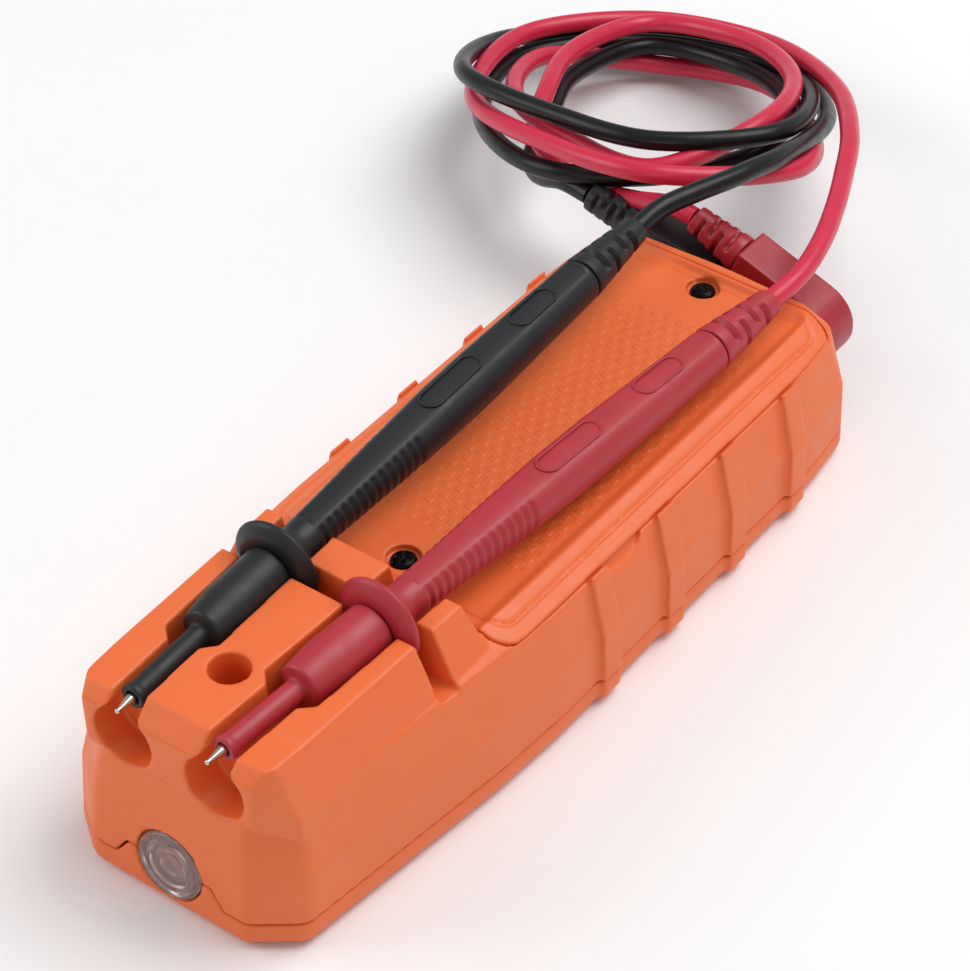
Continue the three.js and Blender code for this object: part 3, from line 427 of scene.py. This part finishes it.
dash_tree.links.new(dash_relief.outputs["Normal"], dash_tree.nodes["Principled BSDF"].inputs["Normal"])
door = moulded("door", "battery_door", 0.33, 3, 0.7, dashed_abs, "root")

# A shallow moulded line runs round the door, 3 mm inside its edge.
line_inset = 3.0 * MM
line_corner = 4.0 * MM
line_depth = 0.45 * MM
line_half_width = 0.42 * MM
top_band = 2 * MM
door_centre = (door_low + door_high) / 2
half_x = (door_high.x - door_low.x) / 2 - line_inset - line_corner
half_y = (door_high.y - door_low.y) / 2 - line_inset - line_corner
for vertex in door.data.vertices:
    if vertex.co.z < door_high.z - top_band:
        continue
    out_x = max(abs(vertex.co.x - door_centre.x) - half_x, 0)
    out_y = max(abs(vertex.co.y - door_centre.y) - half_y, 0)
    away = math.hypot(out_x, out_y) - line_corner
    vertex.co.z -= line_depth * math.exp(-(away / line_half_width) ** 2)


# The probes, one red and one black: a moulded handle with a dished finger guard, a cap in front
# of it, a bare nickel-plated rod, and a slotted strain relief. They lie side by side in the
# holder, each at a slight angle. Lengths are in millimetres from the guard.

# Moulded polypropylene has a fine grain and a dull, slightly waxy shine.
red_moulding = plastic("red_moulded_polypropylene", "#ac2833", "#b6323e", 0.46, 0.5, 0.02)
black_moulding = plastic("black_moulded_polypropylene", "#1b1c1e", "#232426", 0.46, 0.5, 0.02, shine=0.4)
guard_radius = 9.3
guard_half = 1.6
neck_radius = 3.9
barrel_radius = 5.4
barrel_end_radius = 4.6
grip_length = 44.0
handle_length = 97.0
cap_radius = 5.1
cap_front_radius = 4.4
cap_length = 19.5
sleeve_radius = 2.15
sleeve_length = 18.5
rod_radius = 1.0
tip_length = 4.2
probe_boot_length = 19.0
gap = 0.3
guard_along = -41.5
groove_start = 9
groove_pitch = 2.15
groove_count = 14
groove_depth = 0.6
groove_half_angle = 50
flat_share = 0.84
boot_collar = 1.6
slot_count = 4
slot_half_angle = 64
slot_share = 0.64


def softened(profile, step, passes):
    """The profile, radius and distance in millimetres, in short steps with its corners rounded."""
    points = []
    for (r0, y0), (r1, y1) in zip(profile, profile[1:]):
        count = max(1, round(math.hypot(r1 - r0, y1 - y0) / step))
        points += [(r0 + (r1 - r0) * i / count, y0 + (y1 - y0) * i / count) for i in range(count)]
    points.append(profile[-1])
    for _ in range(passes):
        points = [points[0]] + [
            tuple((a + 2 * b + c) / 4 for a, b, c in zip(before, here, after))
            for before, here, after in zip(points, points[1:], points[2:])
        ] + [points[-1]]
    return points


def spun(profile, steps=48):
    """A shape turned about the Y axis from a profile of radius and distance in millimetres."""
    shape = bmesh.new()
    rim = [shape.verts.new((radius * MM, along * MM, 0)) for radius, along in profile]
    edges = [shape.edges.new(pair) for pair in zip(rim, rim[1:])]
    bmesh.ops.spin(
        shape, geom=rim + edges, cent=(0, 0, 0), axis=(0, 1, 0), angle=math.tau, steps=steps,
        use_merge=True, use_normal_flip=False, use_duplicate=False,
    )
    bmesh.ops.remove_doubles(shape, verts=shape.verts, dist=0.0005 * MM)
    bmesh.ops.recalc_face_normals(shape, faces=shape.faces)
    return shape


def finished(name, shape, place, material, body, nodes=()):
    """The shape set in its place as a piece that moves with the body."""
    bmesh.ops.transform(shape, matrix=place, verts=shape.verts)
    mesh = bpy.data.meshes.new(name)
    shape.to_mesh(mesh)
    shape.free()
    mesh.polygons.foreach_set("use_smooth", [True] * len(mesh.polygons))
    piece = linked(name, mesh, material)
    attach(piece, body)
    if nodes:
        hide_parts(*nodes)
    return piece


def slotted_boot(start_radius, end_radius, length):
    """A tapered strain relief with slots that alternate between top and bottom, and the sides."""
    shape = spun(softened([
        (0, 0), (start_radius, 0), (start_radius, 1.2), (end_radius, length), (2.15, length), (0, length),
    ], 0.28, 1))
    # Each slot takes the later part of its pitch, so that a ring is left between two slots.
    pitch = length / 5.4
    for vertex in shape.verts:
        along = vertex.co.y / MM
        number = math.floor((along - boot_collar) / pitch)
        within = (along - boot_collar) / pitch - number
        if not 0 <= number < slot_count or not 0.42 < within < 0.86:
            continue
        angle = math.degrees(math.atan2(vertex.co.z, vertex.co.x)) % 180
        from_side = min(angle, 180 - angle)
        from_top = abs(90 - angle)
        if (from_top if number % 2 == 0 else from_side) < slot_half_angle:
            vertex.co.x *= slot_share
            vertex.co.z *= slot_share
    return shape


def pill_outline(length, width, line, height):
    """A thin raised outline of a long rounded panel, lying in the XY plane."""
    shape = bmesh.new()
    radius = width / 2 * MM
    bmesh.ops.create_circle(shape, cap_ends=False, radius=radius, segments=40)
    inner = bmesh.ops.extrude_edge_only(shape, edges=shape.edges[:])
    inner_rim = [item for item in inner["geom"] if isinstance(item, bmesh.types.BMVert)]
    bmesh.ops.scale(shape, vec=Vector((1, 1, 1)) * (1 - line * MM / radius), verts=inner_rim)
    for vertex in shape.verts:
        vertex.co.y += (length - width) / 2 * MM * (1 if vertex.co.y > 0 else -1)
    bmesh.ops.solidify(shape, geom=shape.faces[:], thickness=height * MM)
    bmesh.ops.recalc_face_normals(shape, faces=shape.faces)
    middle = sum(vertex.co.z for vertex in shape.verts) / len(shape.verts)
    bmesh.ops.translate(shape, vec=(0, 0, -middle), verts=shape.verts)
    return shape


def turned_metal(name, colour):
    """A metal turned on a lathe: fine rings round it and a soft mirror shine, a little smeared."""
    material = bpy.data.materials.new(name)
    material.use_nodes = True
    tree = material.node_tree
    tree.nodes.clear()
    place = add_node(tree, "TexCoord").outputs["Object"]
    rings = add_node(
        tree, "TexWave", [("Vector", place)], bands_direction="Y",
        Scale=1 / (0.35 * MM) / 6.28, Distortion=0.4,
    )
    smear = add_node(tree, "TexNoise", [("Vector", place)], Scale=1 / (1.5 * MM), Detail=3.0)
    gloss = add_node(tree, "MapRange", [("Value", smear.outputs["Fac"])], To_Min=0.18, To_Max=0.34)
    relief = add_node(tree, "Bump", [("Height", rings.outputs["Fac"])], Strength=0.12, Distance=0.02 * MM)
    shader = add_node(tree, "BsdfPrincipled", [
        ("Roughness", gloss.outputs["Result"]), ("Normal", relief.outputs["Normal"]),
    ], Base_Color=linear(colour), Metallic=1.0)
    add_node(tree, "OutputMaterial", [("Surface", shader.outputs["BSDF"])])
    return material


# Nickel plate over turned steel: bright and slightly warm, with fine rings.
nickel_steel = turned_metal("nickel_plated_steel", "#cfcac2")
for colour, material, guard_x, guard_z, splay, lift in (
    ("black", black_moulding, -11.3, 40.5, 1.43, 0.86),
    ("red", red_moulding, 11.9, 39.2, -2.86, -0.29),
):
    body = f"{colour}_probe"
    place = (
        Matrix.Translation(Vector((guard_x, guard_along, guard_z)) * MM)
        @ Matrix.Rotation(math.radians(splay), 4, "Z")
        @ Matrix.Rotation(math.radians(lift), 4, "X")
    )
    handle = spun(softened([
        (1.3, 4), (1.3, -guard_half), (guard_radius - 2.6, -guard_half), (guard_radius - 0.5, -0.4),
        (guard_radius, 0.5), (guard_radius - 0.6, 1.1), (guard_radius - 3, guard_half),
        (neck_radius + 0.7, guard_half + 1), (neck_radius, guard_half + 4), (neck_radius + 0.2, 14),
        (barrel_radius - 0.5, grip_length * 0.75), (barrel_radius, grip_length + 6),
        (barrel_radius, grip_length + 18), (barrel_end_radius, handle_length), (0, handle_length),
    ], 0.36, 3), 64)
    # The barrel is flattened on top, and finger grooves run round its two sides behind the guard.
    for vertex in handle.verts:
        along = vertex.co.y / MM
        if along < groove_start or along > handle_length - 1:
            continue
        angle = math.degrees(math.atan2(vertex.co.z, vertex.co.x)) % 180
        from_side = min(angle, 180 - angle)
        phase = (along - groove_start) / groove_pitch
        radius = math.hypot(vertex.co.x, vertex.co.z)
        flat = radius * flat_share
        if vertex.co.z > flat:
            vertex.co.z = flat + (vertex.co.z - flat) * 0.4
        if phase < groove_count and from_side < groove_half_angle:
            run_out = min(1.0, (groove_half_angle - from_side) / 10)
            groove = math.exp(-(((phase % 1) - 0.5) / 0.2) ** 2) * run_out
            shrink = 1 - groove_depth * groove / (radius / MM)
            vertex.co.x *= shrink
            vertex.co.z *= shrink
    finished(f"{colour}_handle", handle, place, material, body, [f"{colour}_probe_handle"])
    for number, (middle, length) in enumerate(((53.5, 17.0), (80.5, 13.0))):
        height = (barrel_radius if number == 0 else barrel_radius - 0.42) * 0.9
        tilt = 0 if number == 0 else math.radians(-1.2)
        panel_middle = Matrix.Translation(Vector((0, middle, height)) * MM)
        panel_place = place @ panel_middle @ Matrix.Rotation(tilt, 4, "X")
        finished(
            f"{colour}_handle_panel_{number + 1}", pill_outline(length, 5.0, 0.4, 0.5), panel_place,
            material, body,
        )
    cap_front = -guard_half - gap - cap_length
    sleeve_end = cap_front - sleeve_length
    cap = spun(softened([
        (1.3, sleeve_end + 3), (1.3, sleeve_end), (sleeve_radius + 0.3, sleeve_end),
        (sleeve_radius + 0.3, sleeve_end + 1.3), (sleeve_radius, sleeve_end + 1.6),
        (sleeve_radius, cap_front),
        (cap_front_radius, cap_front + 0.6), (cap_radius, cap_front + 7), (cap_radius, -guard_half - gap),
        (1.3, -guard_half - gap),
    ], 0.35, 2))
    finished(f"{colour}_cap", cap, place, material, body, [f"{colour}_probe_cap"])
    tip_end = sleeve_end - tip_length
    rod = spun(softened([
        (0, tip_end), (0.45, tip_end + 0.12), (0.52, tip_end + 0.5), (0.4, tip_end + 0.9),
        (rod_radius, sleeve_end - 0.3), (rod_radius, 10), (0, 10),
    ], 0.25, 1), 32)
    finished(f"{colour}_tip", rod, place, nickel_steel, body, [f"{colour}_probe_rod"])
    boot_place = place @ Matrix.Translation(Vector((0, handle_length + gap, 0)) * MM)
    boot = slotted_boot(barrel_end_radius, 2.9, probe_boot_length)
    finished(
        f"{colour}_probe_relief", boot, boot_place, material, body,
        [f"{colour}_probe_boot"],
    )


# The plugs: shrouded right-angle plugs in the two sockets of the rear face. A round head carries
# a squarish arm that ends in a slotted strain relief. Each is moulded round its lead's end, in
# the lead's colour, and is turned a little about its own pin. Lengths are in millimetres.
head_along = 88.9
head_height = 14.5
arm_end = Vector((-18.8, 10.9, 4.1))

# Moulded PVC: soft and satin, with a fine grain.
red_plug_plastic = plastic("red_moulded_pvc", "#a2222d", "#ac2b37", 0.38, 0.5, 0.02)
black_plug_plastic = plastic("black_moulded_pvc", "#1b1c1e", "#232426", 0.46, 0.5, 0.02, shine=0.4)
for colour, material, socket_x, turn in (
    ("black", black_plug_plastic, -12.0, 9.0),
    ("red", red_plug_plastic, 12.0, 20.0),
):
    body = f"{colour}_plug"
    elbow = moulded(f"{colour}_elbow", f"{colour}_plug_elbow", 0.3, 7, 0.5, material, body)
    place = (
        Matrix.Translation(Vector((socket_x, head_along, head_height)) * MM)
        @ Matrix.Rotation(math.radians(turn), 4, "Y")
        @ Matrix.Translation(arm_end * MM)
        @ Matrix.Rotation(math.pi / 2, 4, "Z")
    )
    relief = slotted_boot(4.1, 3.0, 12.5)
    finished(
        f"{colour}_plug_relief", relief, place, material, body, [f"{colour}_plug_boot"],
    )


# The torch window: a clear polycarbonate disc with concentric rings moulded into it, snapped into
# the nose over a pale moulded cup that holds the light-emitting diode. The nose leans back as it
# rises, and the window leans with it. Lengths are in millimetres.
nose_foot = -88.3
nose_slope = 0.08
lens_height = 9.3
lens_recess = 0.15
lens_middle = Vector((0, nose_foot + nose_slope * lens_height + lens_recess, lens_height))
lens_lean = math.atan(nose_slope)
lens_place = Matrix.Translation(lens_middle * MM) @ Matrix.Rotation(-lens_lean, 4, "X")

# Moulded polycarbonate: clear, with a faint haze that breaks up what is seen through it.
clear = bpy.data.materials.new("clear_moulded_polycarbonate")
clear.use_nodes = True
clear_tree = clear.node_tree
clear_tree.nodes.clear()
clear_place = add_node(clear_tree, "TexCoord").outputs["Object"]
haze = add_node(clear_tree, "TexNoise", [("Vector", clear_place)], Scale=1 / (1.2 * MM), Detail=3.0)
haze_gloss = add_node(clear_tree, "MapRange", [("Value", haze.outputs["Fac"])], To_Min=0.04, To_Max=0.16)
clear_shader = add_node(
    clear_tree, "BsdfPrincipled", [("Roughness", haze_gloss.outputs["Result"])],
    Base_Color=linear("#f3dcd8"), IOR=1.58, Transmission_Weight=0.92,
)
add_node(clear_tree, "OutputMaterial", [("Surface", clear_shader.outputs["BSDF"])])
lens = spun(softened([
    (0, 0.35), (1.6, 0.35), (2.1, 0.1), (3.2, 0.1), (3.4, 0.35), (4.3, 0.4), (4.5, 0.1), (5.0, 0.1),
    (5.2, 0.4), (5.9, 0.3), (6.1, 0), (7.0, 0), (7.0, 2.0), (5.4, 2.0), (5.0, 1.6), (0, 1.5),
], 0.2, 1), 64)
finished("lens", lens, lens_place, clear, "root", ["torch_lens"])

# The cup: a pinkish moulding, pale in its middle and dark towards its rim, where less light falls.
cup_plastic = plastic("pinkish_moulded_cup", "#c98f86", "#d7a79f", 0.3, 0.6, 0.02)
cup_tree = cup_plastic.node_tree
cup_from_axis = add_node(
    cup_tree, "VectorMath", [(0, cup_tree.nodes["Texture Coordinate"].outputs["Object"])],
    operation="DISTANCE",
)
cup_from_axis.inputs[1].default_value = tuple(lens_middle * MM)
cup_rim = add_node(
    cup_tree, "MapRange", [("Value", cup_from_axis.outputs["Value"])],
    From_Min=3.4 * MM, From_Max=5.6 * MM, To_Min=0.0, To_Max=0.85,
)
cup_shade = add_node(
    cup_tree, "MixRGB", [
        ("Fac", cup_rim.outputs["Result"]), ("Color1", cup_tree.nodes["Mix (Legacy)"].outputs["Color"]),
    ], Color2=linear("#5a2f2e"),
)
cup_tree.links.new(cup_shade.outputs["Color"], cup_tree.nodes["Principled BSDF"].inputs["Base Color"])
cup = spun(softened([
    (0, 3.3), (2.4, 3.3), (2.8, 2.9), (5.6, 2.25), (6.2, 2.25), (6.2, 3.0), (5.6, 3.1), (2.9, 4.2), (0, 4.2),
], 0.3, 1), 48)
finished("light_cup", cup, lens_place, cup_plastic, "root")


# Screws: two steel pan heads with a cross recess hold the battery door, and three plain ones
# hold the case halves together. Lengths are in millimetres.
head_thickness = 1.8
cross_turn = 0.5
recess_half_width = 0.36
recess_reach = 1.65
recess_depth = 0.75

# Blackened steel: nearly black, and bright only where an edge or a ring catches the light.
black_steel = turned_metal("blackened_steel_screw", "#1f1e1e")


def finish_nodes(names, material):
    """The named CAD pieces keep their shape and show the material."""
    for name in names:
        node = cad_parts[name]
        for one in node.material_slots:
            one.material = material


finish_nodes([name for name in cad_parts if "case_screw" in name], black_steel)
for node, length in (("door_screw_front", 6.8), ("door_screw_rear", 3.4)):
    low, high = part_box(node)
    seat = Vector(((low.x + high.x) / 2, (low.y + high.y) / 2, high.z - head_thickness * MM))
    screw = spun(softened([
        (0, 1.15), (0.9, 1.15), (1.9, 0.95), (2.45, 0.5), (2.6, 0.05), (2.6, 0), (1.3, 0),
        (1.3, -length), (0, -length),
    ], 0.11, 1), 72)
    for vertex in screw.verts:
        wide = min(abs(vertex.co.x), abs(vertex.co.z)) / MM
        reach = max(abs(vertex.co.x), abs(vertex.co.z)) / MM
        if vertex.co.y > 0.6 * MM and wide < recess_half_width and reach < recess_reach:
            vertex.co.y -= recess_depth * MM * (1 - reach / 3.2)
    stood_up = Matrix.Rotation(math.pi / 2, 4, "X") @ Matrix.Rotation(cross_turn, 4, "Y")
    screw_place = Matrix.Translation(seat) @ stood_up
    finished(node + "_turned", screw, screw_place, black_steel, "root", [node])


# The front panel, on which the tester lies, and what is inside the case: a printed label, a light
# bar and a button over a circuit board with its switch, buzzer and lights, two cells and their
# contacts, and the two sockets with the plugs' pins and shrouds.

# Printed polyester film: dark and flat, with a slight sheen.
panel_print = plastic("printed_polyester_panel", "#2e3033", "#34373a", 0.35, 0.8, 0.01)
# Moulded silicone rubber: dull grey, with no clear highlight.
grey_rubber = plastic("grey_moulded_rubber", "#8b8f94", "#93979c", 0.6, 0.6, 0.03)
# Opal acrylic: milky white and glossy.
milky = plastic("milky_acrylic_bar", "#e8e6df", "#f0eee8", 0.25, 0.8, 0.01)
# Glass epoxy board under a green solder resist: smooth, uneven in colour.
green_board = plastic("green_glass_epoxy_board", "#1f5a35", "#2a6b42", 0.4, 0.7, 0.03)
# Moulded nylon: dark grey and dull.
dark_nylon = plastic("dark_moulded_nylon", "#232427", "#2c2d30", 0.5, 0.5, 0.02)
# The shrunk jacket of a cell: plain blue film, fairly glossy, a little wavy.
foil_jacket = plastic("shrunk_battery_jacket", "#3a5a86", "#44648f", 0.3, 1.5, 0.02)
# Turned brass: a yellow mirror shine with fine rings.
brass = turned_metal("turned_brass", "#c9a660")
finish_nodes(["front_label"], panel_print)
finish_nodes(["push_button"], grey_rubber)
finish_nodes(["light_bar", "torch_led"] + [f"indicator_light_{i}" for i in range(1, 7)], milky)
finish_nodes(["circuit_board"], green_board)
finish_nodes(["buzzer", "button_switch"], dark_nylon)
finish_nodes(["battery_1", "battery_2"], foil_jacket)
contacts = [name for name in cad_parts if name.startswith(("battery_bridge", "battery_leaf"))]
finish_nodes(contacts, nickel_steel)
finish_nodes([f"{colour}_{part}" for colour in ("black", "red") for part in ("socket", "plug_pin")], brass)
finish_nodes(["black_plug_shroud"], black_plug_plastic)
finish_nodes(["red_plug_shroud"], red_plug_plastic)
